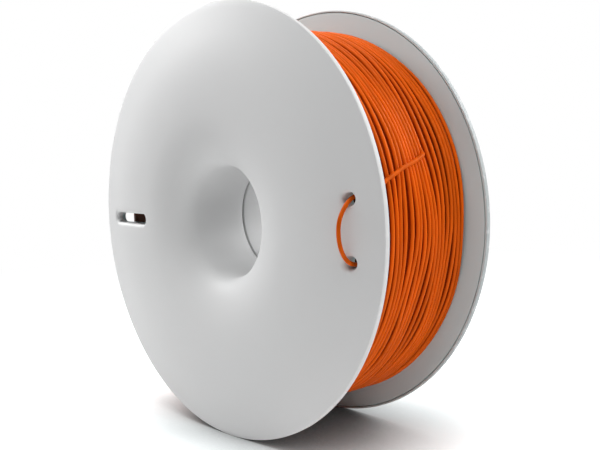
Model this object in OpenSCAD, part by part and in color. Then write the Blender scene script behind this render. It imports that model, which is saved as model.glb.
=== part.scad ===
// Filament spool: two domed cheek shells that meet inside the bore, two flat
// inner discs, a winding drum between them, and one length of filament.
// The spool's axis is Y, the front cheek faces -Y and the spool stands on its
// rims with +Z up. The origin is on the axis, midway between the cheeks.

/* [Spool] */
// Outer diameter of the rims
spool_d = 200; // [192:1:230]
// Distance between the inner faces of the two cheeks
inner_gap = 62; // [58:1:90]
// How far the crown of a cheek stands out past its rim
crown_h = 7.7; // [6.5:0.1:10]
// Radius at which a cheek's crown stands highest
crown_r = 50.8; // [49:0.1:53]
// Radius where the domed face runs out into the straight cone at the rim
cone_start_r = 84; // [80:0.5:88]
// Wall thickness of the moulded cheek shells
shell_wall = 2; // [1.6:0.1:2.4]
// Thickness of a cheek at its rim
rim_t = 2.5; // [2.3:0.1:3.2]
// Radial thickness of the lip that surrounds the inner disc
rim_lip = 1.5; // [1.2:0.1:2.5]
// Radial width of the seat that the inner disc rests on
seat_w = 4; // [3:0.5:6]
// Small chamfer on the moulded edges
edge_chamfer = 0.4; // [0.2:0.1:0.6]

/* [Bore] */
// Diameter of the bore that takes the spindle
bore_d = 52; // [48:0.5:53]
// Length of the straight bore between its two flared mouths
bore_straight = 56.6; // [50:0.2:58]
// Width of the open seam between the two half sleeves
seam_w = 1.2; // [0.6:0.1:2]
// Wall thickness of the collar that joins the half sleeves
collar_wall = 1.8; // [1.4:0.1:2.4]
// How far the collar reaches along each half sleeve
collar_reach = 8; // [5:0.5:12]

/* [Inner discs] */
// Thickness of the inner discs
disc_t = 1.6; // [1.2:0.1:2]
// Radius of the centre hole of an inner disc
disc_hole_r = 42; // [36:0.5:47]
// Thickness of the ring under the crown that carries the disc
ring_t = 2; // [1.6:0.1:2.4]
// How far that ring reaches in past the disc
ring_reach = 2.6; // [2.2:0.1:3.5]
// Height of the snap bead that holds the disc on the ring
bead_h = 0.6; // [0.4:0.1:0.8]
// Number of spring fingers that the ring is slit into
ring_fingers = 8; // [6:1:12]
// Width of the slits between the spring fingers
slit_w = 3; // [2:0.5:4]

/* [Drum] */
// Outer diameter of the winding drum
drum_d = 100; // [90:0.5:104]
// Wall thickness of the drum
drum_wall = 2.5; // [2:0.1:2.8]
// Wall thickness of the collars on the discs that carry the drum
spigot_wall = 2; // [1.6:0.1:2.4]
// How far those collars reach over the ends of the drum
spigot_reach = 5; // [4:0.5:8]
// Number of keys that stop the drum turning on the discs
drum_keys = 4; // [2:1:6]
// Width of a key
key_w = 4; // [3:0.5:6]

/* [Openings] */
// Width of the sight slot in the front cheek
slot_w = 5.4; // [4:0.1:8]
// Radius at which the sight slot begins
slot_start_r = 53; // [52:0.5:70]
// Radius at which the sight slot ends
slot_end_r = 87; // [76:0.5:90]
// Diameter of the two holes that hold the filament's end
hole_d = 5.5; // [4:0.1:7]
// Distance of the line through the two holes from the spool's axis
hole_line = 83.8; // [80:0.1:86]
// Distance between the two holes
hole_pitch = 25; // [20:0.5:30]
// Rounding of the outer edges of the slot and the holes
mouth_round = 1.8; // [1.2:0.1:2]
// Wall thickness of the tubes that line the slot and the holes
liner_wall = 1.6; // [1.2:0.1:2]

/* [Fits] */
// Running clearance between the moulded pieces
fit_gap = 0.2; // [0.1:0.05:0.3]

/* [Filament] */
// Diameter of the filament
filament_d = 1.75; // [1.7:0.01:1.8]
// Diameter over the outer layer of turns
wound_d = 178.4; // [168:0.2:179]
// Free width between the front disc and the outer layer's first turn
front_gap = 6.1; // [5.8:0.1:6.6]
// Free width between the rear disc and the outer layer's last turn
rear_gap = 0.9; // [0.8:0.05:1.2]
// Radius at which the winding's sloping shoulders meet the discs
shoulder_r = 77; // [74:0.5:79]
// Gap left between the outer layer and the last turn, which lies on top
turn_gap = 0.45; // [0.42:0.01:0.8]

/* [Hidden] */
$fn = 180;
plastic = "#d6d6d4";
inner_plastic = "#c2c2c0";
orange = "#e0641e";

spool_r = spool_d / 2;
bore_r = bore_d / 2;
sleeve_r = bore_r + shell_wall;
inner_a = inner_gap / 2;
rim_a = inner_a + rim_t;
crown_a = rim_a + crown_h;
flare_a = bore_straight / 2;
rebate_r = spool_r - rim_lip;
disc_r = rebate_r - fit_gap;
seat_a = inner_a + disc_t;

drum_r = drum_d / 2;
drum_bore_r = drum_r - drum_wall;
spigot_r = drum_r + fit_gap;
ring_r = disc_hole_r - fit_gap;
hole_r = norm([hole_line, hole_pitch / 2]);

// The domed face falls from the crown as a parabola and then as a straight cone.
face_k = crown_h / ((cone_start_r - crown_r) * (2 * spool_r - cone_start_r - crown_r));
cone_slope = 2 * face_k * (cone_start_r - crown_r);
function face_slope(r) = r > cone_start_r ? cone_slope : 2 * face_k * (r - crown_r);
function face_a(r) = r > cone_start_r ? rim_a + (spool_r - r) * cone_slope
                                      : crown_a - face_k * pow(r - crown_r, 2);

// Points [radius, distance from mid width] and outward normals along a cheek.
flare_steps = 20;
face_steps = 12;
flare_w = crown_r - bore_r;
flare_h = crown_a - flare_a;
function unit(v) = v / norm(v);
function flare_point(t) = [crown_r - flare_w * cos(t), flare_a + flare_h * sin(t)];
function flare_normal(t) = unit([-cos(t) / flare_w, sin(t) / flare_h]);
function face_normal(r) = unit([face_slope(r), 1]);
flare_t = [for (i = [0 : flare_steps]) 90 * i / flare_steps];
face_r = concat([for (i = [1 : face_steps]) crown_r + (cone_start_r - crown_r) * i / face_steps],
                [spool_r - edge_chamfer]);
skin_out = concat([for (t = flare_t) flare_point(t)], [for (r = face_r) [r, face_a(r)]]);
skin_in = concat([for (t = flare_t) flare_point(t) - shell_wall * flare_normal(t)],
                 [for (r = face_r) [r, face_a(r)] - shell_wall * face_normal(r)]);

// Turns a [radius, distance] profile into a ring about the Y axis; side -1 is the front.
module about_axis(side) {
    mirror([0, side < 0 ? 1 : 0, 0]) rotate([-90, 0, 0]) rotate_extrude() children();
}

// The whole space under a cheek's skin, from the sleeve's end out to the rim.
module cheek_outline() {
    polygon(concat([[bore_r, seam_w / 2]], skin_out,
                   [[spool_r, rim_a - edge_chamfer], [spool_r, inner_a + edge_chamfer],
                    [spool_r - edge_chamfer, inner_a], [spool_r - edge_chamfer, seam_w / 2]]));
}

module cheek_hollow() {
    intersection() {
        polygon(concat([[sleeve_r, 0]], skin_in, [[spool_r, 0]]));
        square([rebate_r - seat_w, crown_a]);
    }
}

module cheek_section() {
    difference() {
        cheek_outline();
        cheek_hollow();
        translate([sleeve_r, 0]) square([rebate_r - sleeve_r, seat_a]);
        translate([sleeve_r, -1]) square([spool_r, inner_a + 1]);
        polygon([[rebate_r - edge_chamfer, inner_a], [rebate_r + edge_chamfer, inner_a],
                 [rebate_r, inner_a + edge_chamfer], [rebate_r - edge_chamfer, inner_a + edge_chamfer]]);
    }
    carrier_ring();
}

// Ring under the crown with a snap bead at its end, which the inner disc clicks over.
module carrier_ring() {
    ring_a = inner_a - ring_reach;
    intersection() {
        translate([ring_r - ring_t, ring_a]) square([ring_t, crown_a]);
        cheek_outline();
    }
    polygon([[ring_r - ring_t, ring_a], [ring_r, ring_a], [ring_r + bead_h, inner_a - 1.2],
             [ring_r + bead_h, inner_a - 0.7], [ring_r, inner_a - fit_gap], [ring_r - ring_t, inner_a]]);
}

module ring_slits(side) {
    slit_h = ring_reach + disc_t + 1;
    for (i = [0 : ring_fingers - 1])
        rotate([0, 360 * i / ring_fingers, 0])
            translate([ring_r - ring_t - 1, side < 0 ? -(seat_a + 1) : inner_a - ring_reach - 1, -slit_w / 2])
                cube([ring_t + bead_h + 2, slit_h + 1, slit_w]);
}

// Sight slot: its outline grown by a margin, along Y over a cheek's depth.
module slot_prism(grow, from_a, to_a) {
    w = slot_w / 2 + grow;
    x0 = slot_start_r + slot_w / 2;
    x1 = slot_end_r - slot_w / 2;
    translate([0, -from_a, 0]) rotate([90, 0, 0]) linear_extrude(to_a - from_a) {
        translate([-x1, -w]) square([x1 - x0, 2 * w]);
        for (x = [x0, x1]) translate([-x, 0]) circle(w, $fn = 48);
    }
}

module hole_prisms(grow, from_a, to_a) {
    for (s = [-1, 1])
        translate([hole_line, -from_a, s * hole_pitch / 2]) rotate([90, 0, 0])
            cylinder(h = to_a - from_a, r = hole_d / 2 + grow, $fn = 48);
}

// Half section of a rounded mouth: [half width, height over the face].
mouth_steps = 6;
function mouth(half_w) = concat(
    [[0, -mouth_round]],
    [for (i = [0 : mouth_steps]) let (t = 90 * i / mouth_steps)
        [half_w + mouth_round * (1 - cos(t)), mouth_round * (sin(t) - 1)]],
    [[half_w + mouth_round, 2], [0, 2]]);

// A round mouth, square to the domed face at a radius r and an angle about the axis.
module round_mouth(half_w, r, angle) {
    rotate([0, -angle, 0]) translate([r, -face_a(r), 0])
        rotate([0, 0, atan(face_slope(r))]) rotate([90, 0, 0])
            rotate_extrude($fn = 48) polygon(mouth(half_w));
}

// The slot's mouth follows the domed face on a circle through three of its points.
module slot_mouth() {
    r0 = slot_start_r + slot_w / 2;
    r1 = slot_end_r - slot_w / 2;
    rm = (r0 + r1) / 2;
    p0 = [r0, face_a(r0)];
    p1 = [r1, face_a(r1)];
    pm = [rm, face_a(rm)];
    chord = norm(p1 - p0);
    sag = norm(pm - (p0 + p1) / 2);
    arc_r = (chord * chord / 4 + sag * sag) / (2 * sag);
    down = unit([(p0 - p1).y, (p1 - p0).x]);
    centre = pm - arc_r * (down.y > 0 ? down : -down);
    a0 = atan2(p0.y - centre.y, p0.x - centre.x);
    a1 = atan2(p1.y - centre.y, p1.x - centre.x);
    mirror([1, 0, 0]) mirror([0, 1, 0]) translate([centre.x, centre.y, 0])
        rotate([0, 0, a1]) rotate_extrude(angle = a0 - a1, $fn = 360)
            for (s = [-1, 1])
                polygon([for (p = mouth(slot_w / 2)) [arc_r + p.y, s * p.x]]);
    for (r = [r0, r1]) round_mouth(slot_w / 2, r, 180);
}

module front_openings() {
    slot_prism(0, 0, crown_a + 1);
    hole_prisms(0, 0, crown_a + 1);
    slot_mouth();
    for (s = [-1, 1]) round_mouth(hole_d / 2, hole_r, s * atan2(hole_pitch / 2, hole_line));
}

// Tubes that line the slot and the holes, from the disc out to the domed face.
module front_liners() {
    intersection() {
        union() {
            slot_prism(liner_wall, seat_a + fit_gap, crown_a);
            hole_prisms(liner_wall, seat_a + fit_gap, crown_a);
        }
        about_axis(-1) cheek_outline();
    }
}

module front_cheek_shell() {
    color(plastic) difference() {
        union() {
            about_axis(-1) cheek_section();
            front_liners();
        }
        ring_slits(-1);
        front_openings();
    }
}

// Collar on the rear half sleeve that the front one slides into; it is also the
// floor of the open seam.
module sleeve_collar() {
    collar_r = sleeve_r + fit_gap;
    root_a = seam_w / 2 + fit_gap;
    difference() {
        translate([sleeve_r - shell_wall / 2, -collar_reach])
            square([shell_wall / 2 + fit_gap + collar_wall, 2 * collar_reach]);
        translate([sleeve_r - shell_wall / 2 - 1, -collar_reach - 1])
            square([shell_wall / 2 + fit_gap + 1, collar_reach + 1 + root_a]);
    }
}

module rear_cheek_shell() {
    color(plastic) difference() {
        union() {
            about_axis(1) cheek_section();
            about_axis(1) sleeve_collar();
        }
        ring_slits(1);
    }
}

module inner_disc(side) {
    about_axis(side) {
        polygon([[disc_hole_r, inner_a], [disc_r - edge_chamfer, inner_a], [disc_r, inner_a + edge_chamfer],
                 [disc_r, seat_a], [disc_hole_r, seat_a]]);
        translate([spigot_r, inner_a - spigot_reach]) square([spigot_wall, spigot_reach]);
    }
    for (i = [0 : drum_keys - 1])
        rotate([0, 360 * (i + 0.5) / drum_keys, 0])
            translate([drum_bore_r, side < 0 ? -inner_a : inner_a - spigot_reach, -key_w / 2])
                cube([spigot_r + spigot_wall / 2 - drum_bore_r, spigot_reach, key_w]);
}

module front_inner_disc() {
    color(inner_plastic) difference() {
        inner_disc(-1);
        slot_prism(0, 0, crown_a);
        hole_prisms(0, 0, crown_a);
    }
}

module rear_inner_disc() {
    color(inner_plastic) inner_disc(1);
}

module winding_drum() {
    color(inner_plastic) difference() {
        about_axis(1) translate([drum_bore_r, -inner_a]) square([drum_wall, 2 * inner_a]);
        for (i = [0 : drum_keys - 1], s = [-1, 1])
            rotate([0, 360 * (i + 0.5) / drum_keys, 0])
                translate([drum_bore_r - 1, s * inner_a - spigot_reach - fit_gap, -key_w / 2 - fit_gap])
                    cube([drum_wall + 2, 2 * (spigot_reach + fit_gap), key_w + 2 * fit_gap]);
    }
}

// The winding: a plain core under one outer layer that is wound turn by turn.
layer_r = wound_d / 2 - filament_d / 2;
ring_angle = 15;
core_r = layer_r * cos(ring_angle / 2) - filament_d / 2 - 0.1;
layer_front = inner_a - front_gap - filament_d / 2;
layer_rear = inner_a - rear_gap - filament_d / 2;
edge_gap = 0.4;
core_end = inner_a - fit_gap;
core_foot_r = spigot_r + spigot_wall + fit_gap;
core_foot = inner_a - spigot_reach - fit_gap;

module filament_core() {
    color(orange) about_axis(1)
        polygon([[drum_r, -core_foot], [core_foot_r, -core_foot], [core_foot_r, -core_end],
                 [shoulder_r, -core_end], [core_r, -layer_front - edge_gap],
                 [core_r, layer_rear + edge_gap], [shoulder_r, core_end],
                 [core_foot_r, core_end], [core_foot_r, core_foot],
                 [drum_r, core_foot]]);
}

// Route of the filament's free end: along the top of the winding, across it to
// the front cheek, out through the upper hole and in again through the lower.
tail_route = [
    [83.4, 8.6, 35.4], [84.5, 8.6, 32.8], [85.3, 8.2, 30.6], [85.8, 7.0, 29.1],
    [86.1, 5.3, 27.7], [86.5, 2.5, 26.7], [86.9, -1.0, 25.5], [87.1, -4.5, 24.5],
    [87.4, -8.0, 23.5], [87.7, -11.5, 22.1], [88.0, -15.0, 20.8], [88.4, -18.5, 19.4],
    [88.6, -21.4, 18.1], [88.7, -24.2, 17.2],
    [88.2, -26.8, 16.3], [87.2, -28.6, 15.5], [85.7, -29.6, 14.8], [84.4, -30.8, 14.1],
    [83.8, -32.6, 13.5], [83.6, -34.6, 12.6], [83.5, -36.6, 11.2], [83.5, -38.4, 9.3],
    [83.5, -40.0, 7.2], [83.5, -41.2, 4.9], [83.5, -41.9, 2.5], [83.5, -42.1, 0],
    [83.5, -42.0, -2.5], [83.5, -41.5, -5.0], [83.5, -40.6, -7.5], [83.5, -39.2, -9.8],
    [83.5, -37.4, -11.7], [83.4, -35.4, -12.8], [83.3, -33.2, -13.4], [83.0, -31.0, -14.0],
    [82.3, -29.4, -15.4], [81.4, -28.8, -17.6], [80.4, -28.6, -20.4], [79.4, -28.6, -23.4]];

// Points of the wound turns, by turns u from the front edge. The layer runs to
// the rear edge, climbs onto itself in half a turn and comes back across it.
layer_turns = 22;
climb_turns = 0.5;
travel_turns = 0.55;
rest_turns = 0.2;
tail_start = tail_route[0];
tail_dir = unit(tail_route[1] - tail_route[0]);
tail_r = norm([tail_start.x, tail_start.z]);
tail_angle = atan2(tail_start.z, tail_start.x);
wound_turns = layer_turns + climb_turns + travel_turns + rest_turns;
layer_pitch = (layer_front + layer_rear) / layer_turns;
top_r = layer_r + filament_d + turn_gap;
function ease(t) = let (c = max(0, min(1, t))) c * c * (3 - 2 * c);
function turn_y(u) = let (v = u - layer_turns)
    v <= 0 ? -layer_front + layer_pitch * u
    : v <= climb_turns ? layer_rear + 0.15 * layer_pitch * sin(180 * v / climb_turns)
    : layer_rear + (tail_start.y - layer_rear) * ease((v - climb_turns) / travel_turns);
function turn_r(u) = let (v = u - layer_turns)
    v <= 0 ? layer_r
    : v <= climb_turns ? layer_r + (top_r - layer_r) * ease(v / climb_turns)
    : top_r + (tail_r - top_r) * ease((v - climb_turns - travel_turns) / rest_turns);
function turn_point(u) = let (a = tail_angle + 360 * (wound_turns - u))
    [turn_r(u) * cos(a), turn_y(u), turn_r(u) * sin(a)];
rings_per_turn = 360 / ring_angle;
// The first turn comes straight up out of the core and bends over into the layer.
start_angle = tail_angle + 360 * wound_turns;
function start_point(out, along) = let (r = core_r + filament_d * out, s = filament_d * along)
    [r * cos(start_angle) + s * sin(start_angle), turn_y(0), r * sin(start_angle) - s * cos(start_angle)];
start_points = concat([start_point(0, 0)],
                      [for (t = [0 : 30 : 90]) start_point(1 + sin(t), 1 - cos(t))]);
turn_points = concat(start_points,
                     [for (i = [1 : floor(wound_turns * rings_per_turn) - 1]) turn_point(i / rings_per_turn)],
                     [tail_start - filament_d * tail_dir, tail_start]);
turn_count = len(turn_points);

// Least distance between the turns, measured between rings that are over half a turn apart.
turn_clearance = min([for (i = [0 : turn_count - 1])
    for (j = [i + 16 : 1 : turn_count - 1]) norm(turn_points[i] - turn_points[j])]) - filament_d;

// A tube swept along points, its rings carried on without twist.
function path_dirs(p) = [for (i = [0 : len(p) - 1])
    unit(p[min(i + 1, len(p) - 1)] - p[max(i - 1, 0)])];
function square_to(v, d) = unit(v - (v * d) * d);
function path_sides(dirs, first) = [for (i = 0, n = square_to(first, dirs[0]); i < len(dirs);
    i = i + 1, n = i < len(dirs) ? square_to(n, dirs[i]) : n) n];
module tube(p, d, sides, first) {
    dirs = path_dirs(p);
    normals = path_sides(dirs, first);
    n = len(p);
    points = [for (i = [0 : n - 1]) for (j = [0 : sides - 1])
        p[i] + d / 2 * (cos(360 * j / sides) * normals[i] + sin(360 * j / sides) * cross(dirs[i], normals[i]))];
    faces = concat(
        [for (i = [0 : n - 2]) for (j = [0 : sides - 1])
            [i * sides + j, (i + 1) * sides + j, i * sides + (j + 1) % sides]],
        [for (i = [0 : n - 2]) for (j = [0 : sides - 1])
            [(i + 1) * sides + j, (i + 1) * sides + (j + 1) % sides, i * sides + (j + 1) % sides]],
        [for (j = [1 : sides - 2]) [0, j, j + 1]],
        [for (j = [1 : sides - 2]) [(n - 1) * sides, (n - 1) * sides + j + 1, (n - 1) * sides + j]]);
    polyhedron(points, faces);
}

module filament_turns() {
    echo(least_gap_between_turns = turn_clearance, turns = wound_turns);
    color(orange) tube(turn_points, filament_d, 6, [0, 1, 0]);
}

module filament_tail() {
    color(orange) tube(tail_route, filament_d, 8, [0, 1, 0]);
}

front_cheek_shell();
rear_cheek_shell();
front_inner_disc();
rear_inner_disc();
winding_drum();
filament_core();
filament_turns();
filament_tail();
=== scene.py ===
# %% [markdown]
# # A filament spool
# A spool for 1.75 mm printer filament: two domed cheeks, two flat discs let into them, a drum
# between the discs, and one length of filament wound on it whose end is threaded through two
# holes. The construction model comes from model.glb, and this lesson dresses it.

# %% Load the frame
import math

import bmesh
import bpy
import numpy as np
from mathutils import Matrix, Vector
from mathutils.geometry import delaunay_2d_cdt


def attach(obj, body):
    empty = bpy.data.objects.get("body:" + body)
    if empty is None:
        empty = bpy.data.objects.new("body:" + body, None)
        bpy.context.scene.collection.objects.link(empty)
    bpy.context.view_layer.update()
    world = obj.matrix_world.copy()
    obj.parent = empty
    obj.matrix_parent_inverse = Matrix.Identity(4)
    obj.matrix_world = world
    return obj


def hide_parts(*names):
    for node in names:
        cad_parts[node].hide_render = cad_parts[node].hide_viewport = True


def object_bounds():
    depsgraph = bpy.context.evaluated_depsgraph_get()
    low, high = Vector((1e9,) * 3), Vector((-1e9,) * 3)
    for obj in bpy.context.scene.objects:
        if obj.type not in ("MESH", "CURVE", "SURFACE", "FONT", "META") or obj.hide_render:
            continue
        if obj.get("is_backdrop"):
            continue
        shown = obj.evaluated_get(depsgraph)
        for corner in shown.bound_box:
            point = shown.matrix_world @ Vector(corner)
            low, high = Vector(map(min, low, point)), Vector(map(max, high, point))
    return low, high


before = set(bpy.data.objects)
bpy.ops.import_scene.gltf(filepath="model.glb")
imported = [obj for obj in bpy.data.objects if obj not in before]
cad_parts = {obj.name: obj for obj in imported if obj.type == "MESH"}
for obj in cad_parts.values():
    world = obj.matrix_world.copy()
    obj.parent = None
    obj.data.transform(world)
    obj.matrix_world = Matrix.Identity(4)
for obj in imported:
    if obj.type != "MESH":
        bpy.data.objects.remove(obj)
cad_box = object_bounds()
MM = 0.001
print("nodes:", ", ".join(sorted(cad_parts)))

# %% [markdown]
# ## The camera
# A product shot of a spool is taken from a little above the floor and well to one side, so that
# the face, the winding and the far cheek all show. A camera is a place and three directions.
# Working these out from an azimuth, an elevation and a small roll keeps the numbers readable,
# and a matrix with those directions as its columns turns the camera without any Euler angles.

# %% Camera
CAMERA_PLACE = Vector((324.639, -283.585, 32.586)) * MM
CAMERA_AZIMUTH = math.radians(47.415)
CAMERA_ELEVATION = math.radians(4.883)
CAMERA_ROLL = math.radians(-1.943)
CAMERA_LENS = 53.535
CAMERA_SENSOR = 36


def camera_directions(azimuth, elevation, roll):
    """Right, up and back, for a camera that looks along +Y when all angles are zero."""
    look = Vector((-math.sin(azimuth) * math.cos(elevation),
                   math.cos(azimuth) * math.cos(elevation), -math.sin(elevation)))
    level = Vector((math.cos(azimuth), math.sin(azimuth), 0))
    right = level * math.cos(roll) + level.cross(look) * math.sin(roll)
    return right, right.cross(look), -look


camera = bpy.data.objects.new("camera", bpy.data.cameras.new("camera"))
camera.data.lens = CAMERA_LENS
camera.data.sensor_width = CAMERA_SENSOR
camera.data.clip_start = 0.01
camera.data.clip_end = 20
turn = Matrix(camera_directions(CAMERA_AZIMUTH, CAMERA_ELEVATION, CAMERA_ROLL)).transposed()
camera.matrix_world = Matrix.Translation(CAMERA_PLACE) @ turn.to_4x4()
bpy.context.scene.collection.objects.link(camera)
bpy.context.scene.camera = camera
bpy.context.scene.view_settings.view_transform = "Standard"
print("camera at", [round(c, 3) for c in CAMERA_PLACE])

# %% [markdown]
# ## Making a mesh
# Every piece here is either turned about the Y axis or swept along a path, so its points are
# best worked out as arrays. A piece is collected from chunks of points and faces. Where two
# chunks meet they have the same points, and welding those makes one closed skin. A closed skin
# is worth checking, because it is what gives a piece an inside and an outside, so the helper
# counts the edges that don't have exactly two faces.

# %% Mesh helpers
WELD = 0.002 * MM
SHARP = math.radians(35)


def grid_faces(rows, columns, close_rows=False, close_columns=False):
    """Quads between the points of a grid that is stored row by row."""
    faces = []
    for i in range(rows if close_rows else rows - 1):
        for j in range(columns if close_columns else columns - 1):
            i2 = (i + 1) % rows
            j2 = (j + 1) % columns
            faces.append((i * columns + j, i * columns + j2, i2 * columns + j2, i2 * columns + j))
    return faces


def make_piece(name, chunks):
    """One welded mesh object from chunks of (points, faces), riding on the frame."""
    points = []
    faces = []
    for chunk_points, chunk_faces in chunks:
        start = len(points)
        points.extend(map(tuple, chunk_points))
        faces.extend(tuple(start + i for i in face) for face in chunk_faces)
    mesh = bpy.data.meshes.new(name)
    mesh.from_pydata(points, [], faces)
    skin = bmesh.new()
    skin.from_mesh(mesh)
    bmesh.ops.remove_doubles(skin, verts=skin.verts, dist=WELD)
    loose = [v for v in skin.verts if not v.link_faces]
    bmesh.ops.delete(skin, geom=loose, context="VERTS")
    bmesh.ops.recalc_face_normals(skin, faces=skin.faces)
    open_edges = sum(len(e.link_faces) != 2 for e in skin.edges)
    skin.to_mesh(mesh)
    skin.free()
    mesh.shade_smooth()
    mesh.set_sharp_from_angle(angle=SHARP)
    piece = bpy.data.objects.new(name, mesh)
    bpy.context.scene.collection.objects.link(piece)
    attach(piece, "root")
    print(f"{name}: {len(mesh.polygons)} faces, {open_edges} open edges")
    return piece


# %% [markdown]
# ## Sweeping a tube
# A filament is a round tube along a path. At each point of the path the tube needs two
# directions square to it. Taking the pair from the point before and turning it just enough to
# be square again (parallel transport) keeps the tube from twisting, which a pair worked out
# afresh at each point would do where the path turns over.

# %% Tube along a path
def unit(vectors):
    return vectors / np.linalg.norm(vectors, axis=-1, keepdims=True)


def tube_chunk(path, diameter, sides, first_side=(0, 1, 0)):
    """Points and faces of a tube along a path, with flat ends."""
    path = np.asarray(path, float)
    along = np.empty_like(path)
    along[1:-1] = path[2:] - path[:-2]
    along[0] = path[1] - path[0]
    along[-1] = path[-1] - path[-2]
    along = unit(along)
    side = np.empty_like(path)
    last = np.asarray(first_side, float)
    for i, direction in enumerate(along):
        last = last - direction * (last @ direction)
        last = last / np.linalg.norm(last)
        side[i] = last
    other = np.cross(along, side)
    angles = np.arange(sides) * 2 * math.pi / sides
    ring = np.cos(angles)[None, :, None] * side[:, None] + np.sin(angles)[None, :, None] * other[:, None]
    points = path[:, None] + ring * diameter / 2
    faces = grid_faces(len(path), sides, close_columns=True)
    faces.append(tuple(range(sides)))
    faces.append(tuple((len(path) - 1) * sides + j for j in reversed(range(sides))))
    return points.reshape(-1, 3), faces


# %% [markdown]
# ## The free end of the filament
# The last of the filament lifts out of the winding, bends towards the front cheek, crosses the
# other turns and goes out through the upper hole, round a loose loop and in again through the
# lower hole. Its route is given by points a few millimetres apart, and a Catmull-Rom curve through
# them is smooth and passes through each one.

# %% Route of the free end
FILAMENT_D = 1.75 * MM
TAIL_ROUTE = [
    (82.8, 8.35, 30.8), (83.9, 8.2, 29.4), (85.2, 7.4, 28.5),
    (86.1, 5.3, 27.7), (86.5, 2.5, 26.7), (86.9, -1.0, 25.5), (87.1, -4.5, 24.5),
    (87.4, -8.0, 23.5), (87.7, -11.5, 22.1), (88.0, -15.0, 20.8), (88.4, -18.5, 19.4),
    (88.6, -21.4, 18.1), (88.7, -24.2, 17.2),
    (88.2, -26.8, 16.3), (87.2, -28.6, 15.5), (85.7, -29.6, 14.8), (84.4, -30.8, 14.1),
    (83.8, -32.6, 13.5), (83.6, -34.6, 12.6), (83.5, -36.6, 11.2), (83.5, -38.4, 9.3),
    (83.5, -40.0, 7.2), (83.5, -41.2, 4.9), (83.5, -41.9, 2.5), (83.5, -42.1, 0),
    (83.5, -42.0, -2.5), (83.5, -41.5, -5.0), (83.5, -40.6, -7.5), (83.5, -39.2, -9.8),
    (83.5, -37.4, -11.7), (83.4, -35.4, -12.8), (83.3, -33.2, -13.4), (83.0, -31.0, -14.0),
    (82.3, -29.4, -15.4), (81.4, -28.8, -17.6), (80.4, -28.6, -20.4), (79.4, -28.6, -23.4),
]
TAIL_STEPS = 4
TAIL_SIDES = 20


def smooth_path(points, steps):
    """Points on a Catmull-Rom curve through the given ones."""
    p = np.asarray(points, float)
    p = np.vstack([2 * p[0] - p[1], p, 2 * p[-1] - p[-2]])
    t = (np.arange(steps) / steps)[:, None]
    spans = []
    for a, b, c, d in zip(p[:-3], p[1:-2], p[2:-1], p[3:]):
        spans.append(0.5 * (2 * b + (c - a) * t + (2 * a - 5 * b + 4 * c - d) * t ** 2
                            + (3 * b - a - 3 * c + d) * t ** 3))
    return np.vstack([*spans, p[-2:-1]])


def path_length(points):
    return float(np.linalg.norm(np.diff(points, axis=0), axis=1).sum())


tail_path = smooth_path(TAIL_ROUTE, TAIL_STEPS) * MM
filament_end = make_piece("filament_end", [tube_chunk(tail_path, FILAMENT_D, TAIL_SIDES)])
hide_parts("filament_tail")

# %% [markdown]
# ## The section of a cheek
# A cheek is a hollow moulding, turned about the axis: half of the bore's sleeve, a mouth that
# flares out like a trumpet, a crown, a face that falls gently to the rim, and a lip round the
# seat that the flat disc drops into. One closed section holds all of it. The outside is worked
# out from the same sizes as the construction model, and the inside is the outside moved in by
# the wall's thickness, square to the surface, so the wall is even as it is in a real moulding.
# Names that end in _R are radii, and those that end in _A are distances from mid width.

# %% Sizes of a cheek, in millimetres
SPOOL_R = 100
INNER_A = 31
RIM_A = 33.5
CROWN_A = 41.2
CROWN_R = 50.8
CONE_START_R = 84
BORE_R = 26
FLARE_A = 28.3
SEAM_HALF = 0.6
WALL = 2
REBATE_R = 98.5
REAR_REBATE_R = 99.1
REAR_DISC_R = 98.88
SEAT_A = 32.6
SEAT_R = 94.5
EDGE = 0.4
LIP_EDGE = 0.2
SEAM_EDGE = 0.3
DISC_HOLE_R = 42
DISC_EDGE = 0.2
RING_R = 41.8
RING_T = 2
RING_END_A = 28.4
BEAD_H = 0.6
BEAD_A = (30.8, 30.3, 29.8)
COLLAR_REACH = 8
COLLAR_STEP = 0.2
COLLAR_R = 28.2
COLLAR_T = 1.8
FACE_K = (CROWN_A - RIM_A) / ((CONE_START_R - CROWN_R) * (2 * SPOOL_R - CONE_START_R - CROWN_R))
CONE_SLOPE = 2 * FACE_K * (CONE_START_R - CROWN_R)
FLARE_STEPS = 32
FACE_STEP = 2.4
SLEEVE_STEPS = 6
SLEEVE_START = 4
print(f"the face falls {math.degrees(math.atan(CONE_SLOPE)):.1f} degrees at the rim")


# %% The skin of a cheek
def skin_a(r):
    """Distance of the outside of a cheek from mid width, at a radius."""
    r = np.asarray(r, float)
    inward = (CROWN_R - r) / (CROWN_R - BORE_R)
    flare = FLARE_A + (CROWN_A - FLARE_A) * np.sqrt(np.clip(1 - inward ** 2, 0, 1))
    dome = CROWN_A - FACE_K * (r - CROWN_R) ** 2
    cone = RIM_A + (SPOOL_R - r) * CONE_SLOPE
    return np.where(r < CROWN_R, flare, np.where(r < CONE_START_R, dome, cone))


def outer_skin():
    """[r, a] from the flare's foot to the rim's front edge, and the normals there."""
    t = np.radians(np.linspace(0, 90, FLARE_STEPS + 1))
    width = CROWN_R - BORE_R
    height = CROWN_A - FLARE_A
    flare = np.stack([CROWN_R - width * np.cos(t), FLARE_A + height * np.sin(t)], 1)
    flare_normal = np.stack([-np.cos(t) / width, np.sin(t) / height], 1)
    count = round((SPOOL_R - EDGE - CROWN_R) / FACE_STEP)
    r = np.linspace(CROWN_R, SPOOL_R - EDGE, count + 1)[1:]
    slope = np.where(r > CONE_START_R, CONE_SLOPE, 2 * FACE_K * (r - CROWN_R))
    face = np.stack([r, skin_a(r)], 1)
    face_normal = np.stack([slope, np.ones_like(r)], 1)
    return np.vstack([flare, face]), unit(np.vstack([flare_normal, face_normal]))


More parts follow.
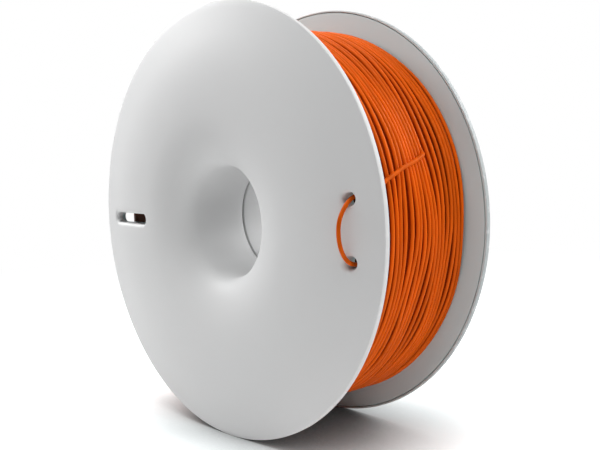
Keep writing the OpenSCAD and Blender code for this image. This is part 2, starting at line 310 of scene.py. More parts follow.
skin, skin_normal = outer_skin()
inner_skin = skin - WALL * skin_normal


def inner_a(r):
    """Distance of the inside of a cheek's wall from mid width, at a radius."""
    return np.interp(r, inner_skin[:, 0], inner_skin[:, 1])


print(f"the skin has {len(skin)} points from the flare's foot to the rim")


# %% The closed section
def round_edge(corner, before, after, radius, steps=3):
    """Points that round a corner of a section between two directions."""
    corner, before, after = (np.asarray(v, float) for v in (corner, before, after))
    start = corner + unit(before) * radius
    end = corner + unit(after) * radius
    t = np.linspace(0, 1, steps + 1)[:, None]
    return (1 - t) ** 2 * start + 2 * t * (1 - t) * corner + t ** 2 * end


def cheek_section(rear):
    """The closed section of a cheek, and the rows where its outside and its inside start."""
    sleeve_a = np.linspace(SEAM_HALF + SLEEVE_START, FLARE_A, SLEEVE_STEPS + 1)
    straight = [[BORE_R, a] for a in sleeve_a[:-1]]
    start = np.vstack([round_edge([BORE_R, SEAM_HALF], [1, 0], [0, 1], SEAM_EDGE), straight])
    rebate_r = REAR_REBATE_R if rear else REBATE_R
    rim = np.vstack([
        round_edge([SPOOL_R, RIM_A], [-EDGE, EDGE * CONE_SLOPE], [0, -1], EDGE)[1:],
        round_edge([SPOOL_R, INNER_A], [0, 1], [-1, 0], EDGE),
        round_edge([rebate_r, INNER_A], [1, 0], [0, 1], LIP_EDGE),
        [[rebate_r, SEAT_A], [SEAT_R, SEAT_A], [SEAT_R, inner_a(SEAT_R)]],
    ])
    back = inner_skin[::-1]
    outside_ring = back[(back[:, 0] < SEAT_R) & (back[:, 0] > RING_R)]
    inside_ring = back[back[:, 0] < RING_R - RING_T]
    ring = [
        [RING_R, inner_a(RING_R)], [RING_R, BEAD_A[0]], [RING_R + BEAD_H, BEAD_A[1]],
        [RING_R + BEAD_H, BEAD_A[2]], [RING_R, RING_END_A], [RING_R - RING_T, RING_END_A],
        [RING_R - RING_T, inner_a(RING_R - RING_T)],
    ]
    sleeve = BORE_R + WALL
    if rear:
        foot = [
            [sleeve, COLLAR_REACH], [COLLAR_R + COLLAR_T, COLLAR_REACH],
            [COLLAR_R + COLLAR_T, -COLLAR_REACH], [COLLAR_R, -COLLAR_REACH],
            [COLLAR_R, SEAM_HALF + COLLAR_STEP], [sleeve, SEAM_HALF + COLLAR_STEP],
            [sleeve, SEAM_HALF],
        ]
    else:
        foot = [[sleeve, SEAM_HALF]]
    section = np.vstack([start, skin, rim, outside_ring, ring, inside_ring, foot])
    return section, len(start), len(start) + len(skin) + len(rim)


rear_section = cheek_section(rear=True)[0]
front_section, skin_start, inner_start = cheek_section(rear=False)
print(f"the sections have {len(rear_section)} and {len(front_section)} points")

# %% [markdown]
# ## The rear cheek and its disc
# Turning the section about the axis gives the rear cheek whole. The columns are 1.5 degrees
# apart: fine enough that the rim's outline stays a circle in any picture. The disc in the cheek
# is turned too: its rounded edge catches the light beside the dark line of the joint, which
# painted shade in the plastic finish darkens further.

# %% Rear cheek and disc
COLUMNS = 240


def turned(section, side):
    """Points of a section turned about the Y axis; side is -1 for the front."""
    angles = np.arange(COLUMNS) * 2 * math.pi / COLUMNS
    r = section[:, :1]
    a = np.broadcast_to(section[:, 1:], (len(section), COLUMNS))
    return np.stack([r * np.cos(angles), side * a, r * np.sin(angles)], -1).reshape(-1, 3) * MM


rear_chunk = (turned(rear_section, 1), grid_faces(len(rear_section), COLUMNS, True, True))
rear_cheek = make_piece("rear_cheek", [rear_chunk])
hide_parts("rear_cheek_shell")

disc_section = np.vstack([
    [[DISC_HOLE_R, INNER_A]], round_edge([REAR_DISC_R, INNER_A], [-1, 0], [0, 1], DISC_EDGE),
    [[REAR_DISC_R, SEAT_A], [DISC_HOLE_R, SEAT_A]]])
disc_chunk = (turned(disc_section, 1), grid_faces(len(disc_section), COLUMNS, True, True))
rear_disc = make_piece("rear_disc", [disc_chunk])
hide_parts("rear_inner_disc")

# %% [markdown]
# ## The front cheek and its openings
# The front cheek has a sight slot, which shows how much filament is left, and two holes that
# hold the filament's end. A boolean would cut them, but it leaves long thin faces that shade
# badly on a glossy dome. Here a patch of the turned grid is left out round the openings and
# filled again by a Delaunay triangulation that has the openings' rims as edges. The rims are
# rolled in on a quarter circle and run on as short tubes to the disc, as a moulded part has.

# %% Outlines of the openings, in millimetres
SLOT_HALF = 2.7
SLOT_FROM = 53
SLOT_TO = 87
HOLE_R = 2.75
HOLE_X = 83.8
HOLE_Z = 12.5
MOUTH = 1.8
LINER = 1.6
LINER_END_A = SEAT_A + 0.2
MOUTH_STEPS = 6
SLOT_NEAR_X = -(SLOT_FROM + SLOT_HALF)
SLOT_FAR_X = -(SLOT_TO - SLOT_HALF)
SLOT_END_POINTS = 17
SLOT_RUN_POINTS = 21
HOLE_POINTS = 40
PATCH_MARGIN = 0.8
PATCH_WELD = 1e-6


def slot_outline(grow):
    """The slot's outline in (x, z), moved out by a margin."""
    half = SLOT_HALF + grow
    turn_in = np.radians(np.linspace(-90, 90, SLOT_END_POINTS))
    turn_out = np.radians(np.linspace(90, 270, SLOT_END_POINTS))
    run = np.linspace(SLOT_NEAR_X, SLOT_FAR_X, SLOT_RUN_POINTS)[1:-1]
    return np.vstack([
        np.stack([SLOT_NEAR_X + half * np.cos(turn_in), half * np.sin(turn_in)], 1),
        np.stack([run, np.full_like(run, half)], 1),
        np.stack([SLOT_FAR_X + half * np.cos(turn_out), half * np.sin(turn_out)], 1),
        np.stack([run[::-1], np.full_like(run, -half)], 1),
    ])


def hole_outline(z):
    """A function that gives a round hole's outline in (x, z), moved out by a margin."""
    angles = np.arange(HOLE_POINTS) * 2 * math.pi / HOLE_POINTS
    circle = np.stack([np.cos(angles), np.sin(angles)], 1)
    return lambda grow: np.array([HOLE_X, z]) + (HOLE_R + grow) * circle


def in_slot(points, grow):
    x = np.clip(points[:, 0], SLOT_FAR_X, SLOT_NEAR_X)
    return np.hypot(points[:, 0] - x, points[:, 1]) < SLOT_HALF + grow


def in_holes(points, grow):
    return np.hypot(points[:, 0] - HOLE_X, np.abs(points[:, 1]) - HOLE_Z) < HOLE_R + grow


print(f"slot {SLOT_TO - SLOT_FROM} mm long, holes {2 * HOLE_Z} mm apart")


# %% Rims and patches of the openings
def lift(outline, a):
    """Points (x, z) with their distance from mid width, as front points in metres."""
    return np.stack([outline[:, 0], np.broadcast_to(-a, len(outline)), outline[:, 1]], 1) * MM


def opening_chunk(outline):
    """Rolled rim, tube wall, tube end and tube outside of one opening."""
    rings = []
    for phi in np.radians(np.linspace(90, 0, MOUTH_STEPS + 1)):
        ring = outline(MOUTH * (1 - math.cos(phi)))
        rings.append(lift(ring, skin_a(np.hypot(*ring.T)) - MOUTH * (1 - math.sin(phi))))
    inside = outline(0)
    outside = outline(LINER)
    rings.append(lift(inside, LINER_END_A))
    rings.append(lift(outside, LINER_END_A))
    rings.append(lift(outside, inner_a(np.hypot(*outside.T))))
    return np.vstack(rings), grid_faces(len(rings), len(inside), close_columns=True)


def patch_chunk(rows, columns, outlines, inside, height):
    """Triangles over a sector of the turned grid, but not in the openings."""
    angles = np.asarray(columns) * 2 * math.pi / COLUMNS
    grid = np.stack([np.outer(rows, np.cos(angles)), np.outer(rows, np.sin(angles))], -1)
    border = np.vstack([grid[0, :-1], grid[:-1, -1], grid[-1, :0:-1], grid[:0:-1, 0]])
    middle = grid[1:-1, 1:-1].reshape(-1, 2)
    middle = middle[~inside(middle, PATCH_MARGIN)]
    loops = [border, *outlines]
    edges = []
    start = 0
    for loop in loops:
        edges += [(start + i, start + (i + 1) % len(loop)) for i in range(len(loop))]
        start += len(loop)
    flat = np.vstack([*loops, middle])
    made = delaunay_2d_cdt([Vector(p) for p in flat], edges, [], 1, PATCH_WELD)
    flat = np.array([tuple(p) for p in made[0]])
    centres = np.array([flat[list(face)].mean(0) for face in made[2]])
    faces = [face for face, drop in zip(made[2], inside(centres, 0)) if not drop]
    return lift(flat, height(np.hypot(*flat.T))), faces


# %% Front cheek
SLOT_COLUMNS = range(COLUMNS // 2 - 6, COLUMNS // 2 + 7)
HOLE_COLUMNS = range(-9, 10)
SLOT_ROWS_R = (49, 91)
HOLE_ROWS_R = (77, 92)

outer_rows = np.arange(skin_start, skin_start + len(skin))
inner_rows = np.arange(inner_start, len(front_section))
on_wall = np.isclose(front_section[inner_rows, 1], inner_a(front_section[inner_rows, 0]))
inner_rows = inner_rows[on_wall]


def rows_between(rows, low, high):
    r = front_section[rows, 0]
    return rows[(r > low) & (r < high)]


left_out = set()
front_chunks = []
for columns, low, high, outlines, inside in (
        (SLOT_COLUMNS, *SLOT_ROWS_R, [slot_outline], in_slot),
        (HOLE_COLUMNS, *HOLE_ROWS_R, [hole_outline(HOLE_Z), hole_outline(-HOLE_Z)], in_holes)):
    front_chunks += [opening_chunk(outline) for outline in outlines]
    for rows, grow, height in ((outer_rows, MOUTH, skin_a), (inner_rows, LINER, inner_a)):
        rows = rows_between(rows, low, high)
        rims = [outline(grow) for outline in outlines]
        within = lambda points, extra, grow=grow, inside=inside: inside(points, grow + extra)
        front_chunks.append(patch_chunk(front_section[rows, 0], columns, rims, within, height))
        left_out |= {(i, j % COLUMNS) for i in rows[:-1] for j in columns[:-1]}
turned_faces = grid_faces(len(front_section), COLUMNS, True, True)
kept_faces = [face for n, face in enumerate(turned_faces) if divmod(n, COLUMNS) not in left_out]
front_chunks.append((turned(front_section, -1), kept_faces))
front_cheek = make_piece("front_cheek", front_chunks)
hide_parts("front_cheek_shell")

# %% [markdown]
# ## The winding
# A machine lays the filament turn by turn, but not perfectly: each turn wanders a little by
# itself, some turns touch, and between others a gap opens that shows the layer below. That can
# be copied step by step. First every turn gets its even place plus a smooth random wander. Then
# turns that would cut each other push each other apart, again and again, until they only touch,
# while gaps that are too wide close a little, as a tight winding would pull them shut.
# What is left are the bundles and gaps of a real winding, and no turn passes through another.

# %% How the turns lie
TURN_RINGS = 108
TURN_SIDES = 12
# Pitches in millimetres: turns that touch, turns with a little room, and too wide a gap.
TOUCHING = 1.77
ROOMY = 2.2
WIDE = 4.0
# How many rounds of pushing, and the share of a fault by which each of its two turns moves.
PUSHES = 240
PUSH_TOUCHING = 0.35
PUSH_ROOMY = 0.01
PULL_WIDE = 0.06
# How many times the whole path is smoothed meanwhile.
SOFTENING = 6
# The wander of single turns: rings over which it changes, and its share.
NOISE = ((4, 0.8), (2, 0.5))
# How far whole bundles drift together, in two waves round the spool that fade out at each edge.
TOGETHER = 1.0
SECOND_WAVE = 0.7
EDGE_TURNS = 4
# How far the first and last turns would pass the edges if nothing held them, so that they press on.
SPARE = 1.5


def smooth_noise(count, reach, seed):
    """A random curve of unit spread that changes over about reach points."""
    steps = np.arange(-3 * reach, 3 * reach + 1)
    bell = np.exp(-0.5 * (steps / reach) ** 2)
    raw = np.random.default_rng(seed).standard_normal(count + len(bell) - 1)
    return np.convolve(raw, bell / np.linalg.norm(bell), "valid")


def lay_turns(turns, width, wander, seed):
    """Distance along the axis at each ring of a layer, from 0 to width."""
    count = turns * TURN_RINGS + 1
    y = np.linspace(-SPARE, width + SPARE, count)
    for reach, share in NOISE:
        y += wander * share * smooth_noise(count, reach, seed + reach)
    ring = np.arange(count)
    around = 2 * math.pi * ring / TURN_RINGS
    from_edge = np.clip(np.minimum(ring, ring[::-1]) / (EDGE_TURNS * TURN_RINGS), 0, 1)
    y += TOGETHER * from_edge * (
        np.cos(2 * around + seed) + SECOND_WAVE * np.cos(3 * around + 2 * seed))
    for push in range(PUSHES):
        pitch = y[TURN_RINGS:] - y[:-TURN_RINGS]
        apart = PUSH_TOUCHING * np.clip(TOUCHING - pitch, 0, None)
        apart += PUSH_ROOMY * np.clip(ROOMY - pitch, 0, None)
        apart -= PULL_WIDE * np.clip(pitch - WIDE, 0, None)
        y[TURN_RINGS:] += apart
        y[:-TURN_RINGS] -= apart
        y = np.clip(y, 0, width)
        if push % (PUSHES // SOFTENING) == 0:
            y[1:-1] = (y[:-2] + 2 * y[1:-1] + y[2:]) / 4
    least = (y[TURN_RINGS:] - y[:-TURN_RINGS]).min()
    print(f"{turns} turns, {turns * TOUCHING:.1f} of {width:.1f} mm filled, least pitch {least:.2f} mm")
    return y


def wound(angle, r, y):
    """Points in metres from polar angles in turns, radii and distances in mm."""
    t = 2 * math.pi * angle
    return np.stack([r * np.cos(t), y, r * np.sin(t)], -1) * MM


# %% [markdown]
# ## The outer layer
# The outer layer runs from near the front disc right up to the rear one, and dives at both ends,
# which lie on the far side. Part of the way along, the strand lifts out between its neighbours
# and becomes the free end; the two meet end to end. The strand that fills its place comes up from
# below, under it. The last turn rides up a little on one side, where it had no room.

# %% Outer layer
LAYER_TURNS = 21
LAYER_FRONT = 24.0
LAYER_REAR = 29.95
LAYER_R = 88.325
LAYER_SEED = 11
LAYER_WANDER = 3.5
LAYER_RISE = 0.2
LAYER_RISE_MOST = 2
LAYER_RISE_REACH = 10
SWELL = 1.0
SWELL_AT = math.radians(26)
SWELL_REACH = math.radians(24)
SWELL_TURNS = 1.5
SWELL_RAMP = 0.5
LIFT_RINGS = 2
DIVE_RINGS = 14
DIVE_R = 87.0


def ease(t):
    t = np.clip(t, 0, 1)
    return t * t * (3 - 2 * t)


tail_x, tail_y, tail_z = TAIL_ROUTE[0]
tail_r = math.hypot(tail_x, tail_z)
tail_turn = math.atan2(tail_z, tail_x) / (2 * math.pi)
layer_y = lay_turns(LAYER_TURNS, LAYER_FRONT + LAYER_REAR, LAYER_WANDER, LAYER_SEED) - LAYER_FRONT
count = len(layer_y)
ring = np.arange(count)
under_tail = np.arange(int((0.5 - tail_turn) * TURN_RINGS), count, TURN_RINGS)
leave = int(under_tail[np.argmin(np.abs(layer_y[under_tail] - tail_y))])
layer_angle = tail_turn + (leave - ring) / TURN_RINGS
rise = np.clip(smooth_noise(count, LAYER_RISE_REACH, LAYER_SEED), 0, LAYER_RISE_MOST)
layer_r = LAYER_R + LAYER_RISE * rise
on_last = ease((ring - count + SWELL_TURNS * TURN_RINGS) / (SWELL_RAMP * TURN_RINGS))
off_swell = (2 * math.pi * layer_angle - SWELL_AT + math.pi) % (2 * math.pi) - math.pi
layer_r += SWELL * on_last * np.exp(-(off_swell / SWELL_REACH) ** 2)
from_end = np.minimum(ring, ring[::-1])
layer_r += (DIVE_R - layer_r) * ease(1 - from_end / DIVE_RINGS)
near_lift = ease(1 - np.abs(leave - ring) / (2 * LIFT_RINGS))
layer_r += (tail_r - layer_r) * near_lift
first_path = wound(layer_angle[:leave], layer_r[:leave], layer_y[:leave])
first_path = np.vstack([first_path, tail_path[0]])
rising_r = layer_r[leave - 1:].copy()
rising_r[:LIFT_RINGS + 1] -= TOUCHING * np.linspace(1, 0, LIFT_RINGS + 1)
second_path = wound(layer_angle[leave - 1:], rising_r, layer_y[leave - 1:])
layer_chunks = [tube_chunk(path, FILAMENT_D, TURN_SIDES) for path in (first_path, second_path)]
winding_layer = make_piece("winding_layer", layer_chunks)
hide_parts("filament_turns")
print(f"outer layer: {path_length(first_path) + path_length(second_path):.2f} m of filament")
print(f"the free end leaves it after {leave / TURN_RINGS:.2f} turns, {layer_y[leave]:.2f} from mid width")

# %% [markdown]
# ## The layer below, the shoulder and the core
# Between the turns of the outer layer one looks into the layer below, so it is wound too, the
# other way along the axis as the machine does. At the front it runs down a sloping shoulder
# towards the disc. Under it a plain turned core is enough: no light gets there.

# %% Lower layer, shoulder and core
LOWER_TURNS = 26
LOWER_FRONT = 25.2
LOWER_REAR = 30.0
LOWER_R = 86.56
LOWER_SEED = 5
LOWER_WANDER = 1.25
SHOULDER_TURNS = 6
SHOULDER_R = 77.6
SHOULDER_A = 29.9
CORE_R = 85.6
CORE_FRONT = 24.6
CORE_BELOW = 1
DRUM_R = 50
CORE_FOOT_R = 52.4
CORE_FOOT_A = 25.8
CORE_END_A = 30.8

lower_y = LOWER_REAR - lay_turns(LOWER_TURNS, LOWER_FRONT + LOWER_REAR, LOWER_WANDER, LOWER_SEED)
down = np.linspace(0, 1, SHOULDER_TURNS * TURN_RINGS + 1)[1:]
lower_r = np.concatenate([np.full(len(lower_y), LOWER_R), LOWER_R + (SHOULDER_R - LOWER_R) * down])
lower_y = np.concatenate([lower_y, (LOWER_FRONT - SHOULDER_A) * down - LOWER_FRONT])
lower_path = wound(-np.arange(len(lower_y)) / TURN_RINGS, lower_r, lower_y)
lower_chunk = tube_chunk(lower_path, FILAMENT_D, TURN_SIDES)
winding_lower = make_piece("winding_lower", [lower_chunk])
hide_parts("filament_core")

core_section = np.array([
    [DRUM_R, -CORE_FOOT_A], [CORE_FOOT_R, -CORE_FOOT_A], [CORE_FOOT_R, -CORE_END_A],
    [SHOULDER_R - CORE_BELOW, -CORE_END_A], [CORE_R, -CORE_FRONT], [CORE_R, CORE_END_A],
    [CORE_FOOT_R, CORE_END_A], [CORE_FOOT_R, CORE_FOOT_A], [DRUM_R, CORE_FOOT_A]])
core_chunk = (turned(core_section, 1), grid_faces(len(core_section), COLUMNS, True, True))
winding_core = make_piece("winding_core", [core_chunk])
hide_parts("filament_core")

# %% [markdown]
# ## Shader maths as Python
# A material is a graph of nodes. Written as node calls, even a small sum takes several lines
# and hides what it works out. The class below wraps a node's output, so that the sum can be
# written as a sum: each operator adds one Math node, and an expression on vectors adds Vector
# Math nodes. Every other node comes from one method, which sets the node up before it fills in
# its sockets, because some settings change which sockets there are.

# %% Wires and node trees
class Wire:
    """A node's output that can be used in Python expressions."""

    def __init__(self, book, socket):
        self.book = book
        self.socket = socket

    def work(self, operation, *values):
        kind = "ShaderNodeMath"
        if self.socket.type == "VECTOR":
            kind = "ShaderNodeVectorMath"
        return self.book.node(kind, {"operation": operation}, dict(enumerate(values)))

    def __add__(self, other):
        return self.work("ADD", self, other)

    def __radd__(self, other):
        return self.work("ADD", other, self)

    def __sub__(self, other):
        return self.work("SUBTRACT", self, other)

    def __rsub__(self, other):
        return self.work("SUBTRACT", other, self)

    def __mul__(self, other):
        return self.work("MULTIPLY", self, other)

    def __rmul__(self, other):
        return self.work("MULTIPLY", other, self)

    def __pow__(self, other):
        return self.work("POWER", self, other)


class NodeBook:
    """A node tree with one method that adds any node."""

    def __init__(self, tree):
        self.tree = tree

    def put(self, socket, value):
        if isinstance(value, Wire):
            self.tree.links.new(value.socket, socket)
        else:
            socket.default_value = value

    def node(self, kind, settings=None, sockets=None, output=0):
        """Adds a node, sets it up, fills its sockets by name or number, and gives one output."""
        made = self.tree.nodes.new(kind)
        for name, value in (settings or {}).items():
            setattr(made, name, value)
        for name, value in (sockets or {}).items():
            self.put(made.inputs[name], value)
        return Wire(self, made.outputs[output])

    def blend(self, amount, first, second):
        """A colour between two colours."""
        return self.node("ShaderNodeMix", {"data_type": "RGBA"}, {0: amount, 6: first, 7: second}, 2)

    def step(self, value, low, high):
        """A smooth step from 0 at low to 1 at high."""
        return self.node("ShaderNodeMapRange", {"interpolation_type": "SMOOTHSTEP"},
                         {"Value": value, "From Min": low, "From Max": high})

    def noise(self, where, scale, detail=2.0, roughness=0.5):
        return self.node("ShaderNodeTexNoise", None,
                         {"Vector": where, "Scale": scale, "Detail": detail, "Roughness": roughness})


class Finish(NodeBook):
    """A material with a Principled surface; its uniform values sit on the sockets themselves."""

    def __init__(self, name, **uniform):
        self.material = bpy.data.materials.new(name)
        self.material.use_nodes = True
        super().__init__(self.material.node_tree)
        self.surface = self.tree.nodes["Principled BSDF"]
        for socket, value in uniform.items():
            self.surface.inputs[socket.replace("_", " ")].default_value = value
        self.place = self.node("ShaderNodeTexCoord", output="Object")

    def set(self, socket, value):
        self.put(self.surface.inputs[socket], value)

    def bump(self, height, strength, distance):
        """A bump whose height is in units of distance, in metres."""
        self.set("Normal", self.node("ShaderNodeBump", None,
                                     {"Height": height, "Strength": strength, "Distance": distance}))

    def wear(self, piece):
        """Gives a piece this finish in every slot."""
        piece.data.materials.clear()
        piece.data.materials.append(self.material)


# %% [markdown]
# ## Moulded plastic
# The cheeks are moulded in a pale grey plastic with a satin skin. Up close such a skin isn't
# even: the mould's spark-eroded surface leaves a grain of about a third of a millimetre, the
# colour drifts by a per cent or so where the melt flowed, and the rim that the spool stands and
# rolls on is rubbed a little rougher and paler. The discs are the same plastic with less red in
# its colour, a painted counter to the orange light that the winding throws on them. The discs
# come from another tool: the same plastic, a shade darker and cooler. Round the rear disc the
# joint, the lip and the band of the rim are painted darker and cool in the same way, as painted
# shade, which keeps the joint a fine grey line.

# %% Plastic finishes
# Noise scales: a noise's features are about 1 m divided by its scale.
GRAIN = 3200
DRIFT = 14
SCUFFS = 260
GRAIN_STRENGTH = 0.35
DRIFT_ROUGHNESS = 0.08
# Where the rim is rubbed, how much of the scuffs' noise shows, and what the rubbing does.
RUBBED_R = (99.4, 99.9)
SCUFF_STEP = (0.52, 0.7)
RUBBED_SHARE = 0.6
RUBBED_PALER = 0.18
RUBBED_ROUGHNESS = 0.12
# Painted shade round the rear disc: the joint and the rim's band are painted darker, and all three tones
# are cool to cancel the orange light that the winding throws on them.
RIM_PAINTED_SHADE = [
    # (from radius, to radius, tone)
    (98.65, 99.2, (0.32, 0.43, 0.44)),
    (99.2, 99.65, (0.56, 0.655, 0.665)),
    (99.65, 101, (0.42, 0.455, 0.46)),
]
RIM_FADE = 0.15
BAND_END_A = 33.2


def moulded(name, colour, roughness, drift, grain_depth):
    """A satin moulded plastic with grain, colour drift, a rubbed rim and painted shade round the rear
    disc.
    """
    finish = Finish(name, Specular_IOR_Level=0.35, IOR=1.49)
    place = finish.place
    x, y, z = (finish.node("ShaderNodeSeparateXYZ", None, {0: place}, i) for i in range(3))
    radius = (x * x + z * z) ** 0.5
    cloud = finish.noise(place, DRIFT, 3)
    grain = finish.noise(place, GRAIN, 1)
    scuffs = finish.step(finish.noise(place, SCUFFS, 4, 0.6), *SCUFF_STEP)
    rubbed = finish.step(radius, RUBBED_R[0] * MM, RUBBED_R[1] * MM) * scuffs
    dark = [c * (1 - drift) for c in colour]
    light = [min(1, c * (1 + drift)) for c in colour]
    body = finish.blend(cloud, (*dark, 1), (*light, 1))
    pale = [c + (1 - c) * RUBBED_PALER for c in colour]
    # Paints those tones round the rear disc: painted shade, and a painted counter to the winding's orange
    # light.
    at_rear = finish.step(y, 0.0, INNER_A * MM) - finish.step(y, BAND_END_A * MM, RIM_A * MM)
    for low, high, tone in RIM_PAINTED_SHADE:
        past_low, past_high = (finish.step(radius, r * MM, (r + RIM_FADE) * MM) for r in (low, high))
        body = finish.blend(at_rear * (past_low - past_high), body, (*tone, 1))
    finish.set("Base Color", finish.blend(rubbed * RUBBED_SHARE, body, (*pale, 1)))
    finish.set("Roughness", roughness + DRIFT_ROUGHNESS * (cloud - 0.5) + RUBBED_ROUGHNESS * rubbed)
    finish.bump(grain, GRAIN_STRENGTH, grain_depth * MM)
    return finish


cheek_plastic = moulded("satin_cheek", (0.655, 0.658, 0.66), 0.5, 0.02, 0.008)
# The discs' colour has less red than the cheeks': a painted counter to the orange light that the winding
# throws on them.
disc_plastic = moulded("satin_disc", (0.53, 0.65, 0.665), 0.5, 0.025, 0.01)
for cheek in (front_cheek, rear_cheek):
    cheek_plastic.wear(cheek)
for piece in (rear_disc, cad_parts["front_inner_disc"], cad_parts["winding_drum"]):
    disc_plastic.wear(piece)
print("plastic finishes:", cheek_plastic.material.name, disc_plastic.material.name)

# %% [markdown]
# ## Filament
# Extruded filament is smooth and a little glossy, with a faint ripple along it and a tint that
# drifts along its length, so neighbouring turns differ slightly. Stretching the noise round the
# axis, by scaling y much more than x and z, gives each turn its own tint without a seam. On the
# winding the colour is painted darker deep between the turns, as painted shade, down to a near
# black deepest in, so there the tint also follows the radius. The free end has none of that
# painted shade, but its colour is painted a shade darker than the wound turns', also as painted shade.

# %% Filament finish
TINT_SCALE = (22, 420, 22)
TINT_STEP = (0.3, 0.7)
TINT_DEEP = 0.85
TINT_BRIGHT = 1.12
TINT_ROUGHNESS = 0.1
RIPPLE_SCALE = (400, 2200, 400)
RIPPLE_STRENGTH = 0.3
RIPPLE_DEPTH = 0.02 * MM
ORANGE = (0.76, 0.12, 0.006)
# The free end's colour is painted a shade darker than the wound turns', as painted shade.
ORANGE_END_SHADED = (0.62, 0.095, 0.004)
GROOVE_SHADE_PAINT = [
    # ((full painted shade up to radius, none from radius), painted tone)
    ((87.2, 89.0), (0.46, 0.055, 0.003)),
    ((84.5, 87.0), (0.06, 0.018, 0.008)),
]


def extruded(name, colour, roughness, groove_shade=None):
    """A glossy extruded filament, with a tint that differs from turn to turn, and painted shade that
    darkens it with depth when tones are given.
    """
    finish = Finish(name, Specular_IOR_Level=0.035, IOR=1.47)
    place = finish.place
    tint = finish.noise(place * TINT_SCALE, 1.0, 2)
    ripple = finish.noise(place * RIPPLE_SCALE, 1.0, 1)
    deep = [c * TINT_DEEP for c in colour]
    bright = [min(1, c * TINT_BRIGHT) for c in colour]
    body = finish.blend(finish.step(tint, *TINT_STEP), (*deep, 1), (*bright, 1))
    # Painted shade: the colour darkens with depth between the turns, to a near black deepest in.
    if groove_shade:
        x, z = (finish.node("ShaderNodeSeparateXYZ", None, {0: place}, i) for i in (0, 2))
        radius = (x * x + z * z) ** 0.5
        for (low, high), groove in groove_shade:
            body = finish.blend(finish.step(radius, low * MM, high * MM), (*groove, 1), body)
    finish.set("Base Color", body)
    finish.set("Roughness", roughness + TINT_ROUGHNESS * (tint - 0.5))
    finish.bump(ripple, RIPPLE_STRENGTH, RIPPLE_DEPTH)
    return finish


wound_filament = extruded("wound_filament", ORANGE, 0.27, GROOVE_SHADE_PAINT)
shaded_end_filament = extruded("shaded_end_filament", ORANGE_END_SHADED, 0.42)
for piece in (winding_layer, winding_lower, winding_core):
    wound_filament.wear(piece)
shaded_end_filament.wear(filament_end)
print("filament finishes:", wound_filament.material.name, shaded_end_filament.material.name)

# %% [markdown]
# ## Floor and background
# The spool stands on a plain pale floor under a white background. The floor is lit as anything
# else is, so it keeps the shadow, and it gives off a little light of its own that only camera
# and mirror rays see. Further out that share grows until the floor is as white as the world
# behind it, so no horizon shows. Right beside the spool a floor sees less of the room round it,
# and the ambient occlusion node adds that soft shade. None of this lights the object: it only
# shows in its reflections.

# %% Floor
FLOOR_Z = -0.1
FLOOR_R = 3
FLOOR_SIDES = 60
FLOOR_BOUNCE = (0.92, 0.92, 0.92)
# FLOOR_SEEN is a little cool, a painted counter to the orange light that the winding throws into the
# floor's shadow.
FLOOR_SEEN = (0.9, 0.945, 0.95)
FLOOR_GLOW = 0.46
SHADE_REACH = 0.05
SHADE_POWER = 1.3
FADE_FROM = 0.2
FADE_TO = 0.7


def seen_directly(book):
    """1 for the rays whose background is seen: camera, glossy and transmission rays."""
    rays = [book.node("ShaderNodeLightPath", output=f"Is {kind} Ray")
            for kind in ("Camera", "Glossy", "Transmission")]
    return book.node("ShaderNodeMath", {"operation": "MAXIMUM"}, {
        0: book.node("ShaderNodeMath", {"operation": "MAXIMUM"}, {0: rays[0], 1: rays[1]}),
        1: rays[2]})


floor_mesh = bpy.data.meshes.new("floor")
floor_angles = [2 * math.pi * i / FLOOR_SIDES for i in range(FLOOR_SIDES)]
floor_rim = [(FLOOR_R * math.cos(a), FLOOR_R * math.sin(a), FLOOR_Z) for a in floor_angles]
floor_mesh.from_pydata(floor_rim, [], [tuple(range(FLOOR_SIDES))])
floor = bpy.data.objects.new("floor", floor_mesh)
bpy.context.scene.collection.objects.link(floor)
floor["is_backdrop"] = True

floor_paint = bpy.data.materials.new("floor_paint")
floor_paint.use_nodes = True
book = NodeBook(floor_paint.node_tree)
seen = seen_directly(book)
place = book.node("ShaderNodeTexCoord", output="Object")
x, y = (book.node("ShaderNodeSeparateXYZ", None, {0: place}, i) for i in range(2))
far_out = book.step((x * x + y * y) ** 0.5, FADE_FROM, FADE_TO) * seen
open_sky = book.node("ShaderNodeAmbientOcclusion", None, {"Distance": SHADE_REACH}, output=1)
shade = open_sky ** SHADE_POWER
shown = book.blend(shade, (0, 0, 0, 1), (*FLOOR_SEEN, 1))
tone = book.blend(seen, (*FLOOR_BOUNCE, 1), shown)
paint = book.node("ShaderNodeBsdfDiffuse", None, {"Color": tone})
glow = book.node("ShaderNodeEmission", None, {"Strength": FLOOR_GLOW * seen * shade})
white = book.node("ShaderNodeEmission", None, {"Strength": 1.0})
near_by = book.node("ShaderNodeAddShader", None, {0: paint, 1: glow})
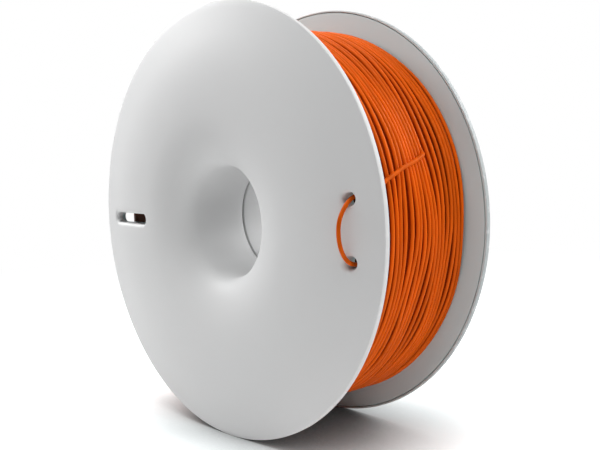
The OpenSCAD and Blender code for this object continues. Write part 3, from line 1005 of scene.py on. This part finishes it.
mixed = book.node("ShaderNodeMixShader", None, {0: far_out, 1: near_by, 2: white})
book.put(floor_paint.node_tree.nodes["Material Output"].inputs["Surface"], mixed)
floor.data.materials.append(floor_paint)
print("floor at", FLOOR_Z)

# %% World
world = bpy.data.worlds.new("world")
bpy.context.scene.world = world
world.use_nodes = True
book = NodeBook(world.node_tree)
background = world.node_tree.nodes["Background"]
book.put(background.inputs["Color"], (1, 1, 1, 1))
book.put(background.inputs["Strength"], seen_directly(book))
print("the world is white where it is seen, and lights nothing that is matt")

# %% [markdown]
# ## Lights
# Soft studio light: large area lights, far enough away that their edges don't show. Each is
# given by the direction that it shines from, so that it can be moved round the spool by angle.

# %% Lights
LIGHTS = {
    # name: (azimuth, elevation, distance, size, watts)
    "key": (-75, 39, 0.75, 0.34, 5.1),
    "high_left": (-30, 70, 1.2, 0.6, 5.2),
    "high_right": (45, 60, 1.2, 0.6, 3.1),
    "right": (100, 35, 1.2, 0.6, 4.2),
    "back": (150, 30, 1.2, 0.6, 9.8),
}


def area_light(name, azimuth, elevation, distance, size, watts):
    """A square area light that faces the spool from a direction; azimuth 0 is the front."""
    lamp = bpy.data.lights.new(name, "AREA")
    lamp.size = size
    lamp.energy = watts
    light = bpy.data.objects.new(name, lamp)
    a = math.radians(azimuth)
    e = math.radians(elevation)
    back = Vector((math.sin(a) * math.cos(e), -math.cos(a) * math.cos(e), math.sin(e)))
    light.rotation_mode = "QUATERNION"
    light.rotation_quaternion = back.to_track_quat("Z", "Y")
    light.location = back * distance
    light.visible_camera = False
    bpy.context.scene.collection.objects.link(light)
    return light


for name, settings in LIGHTS.items():
    area_light(name, *settings)
print("lights:", ", ".join(LIGHTS))

# %% [markdown]
# ## Sizes
# Both boxes are printed, the construction model's and the dressed spool's, so that they can be
# set side by side. The dressed spool has to stay inside the construction model's box.

# %% Print the boxes
dressed_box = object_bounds()
for label, corners in (("model", cad_box), ("dressed", dressed_box)):
    print(label, "box:", [[round(c / MM, 2) for c in corner] for corner in corners])
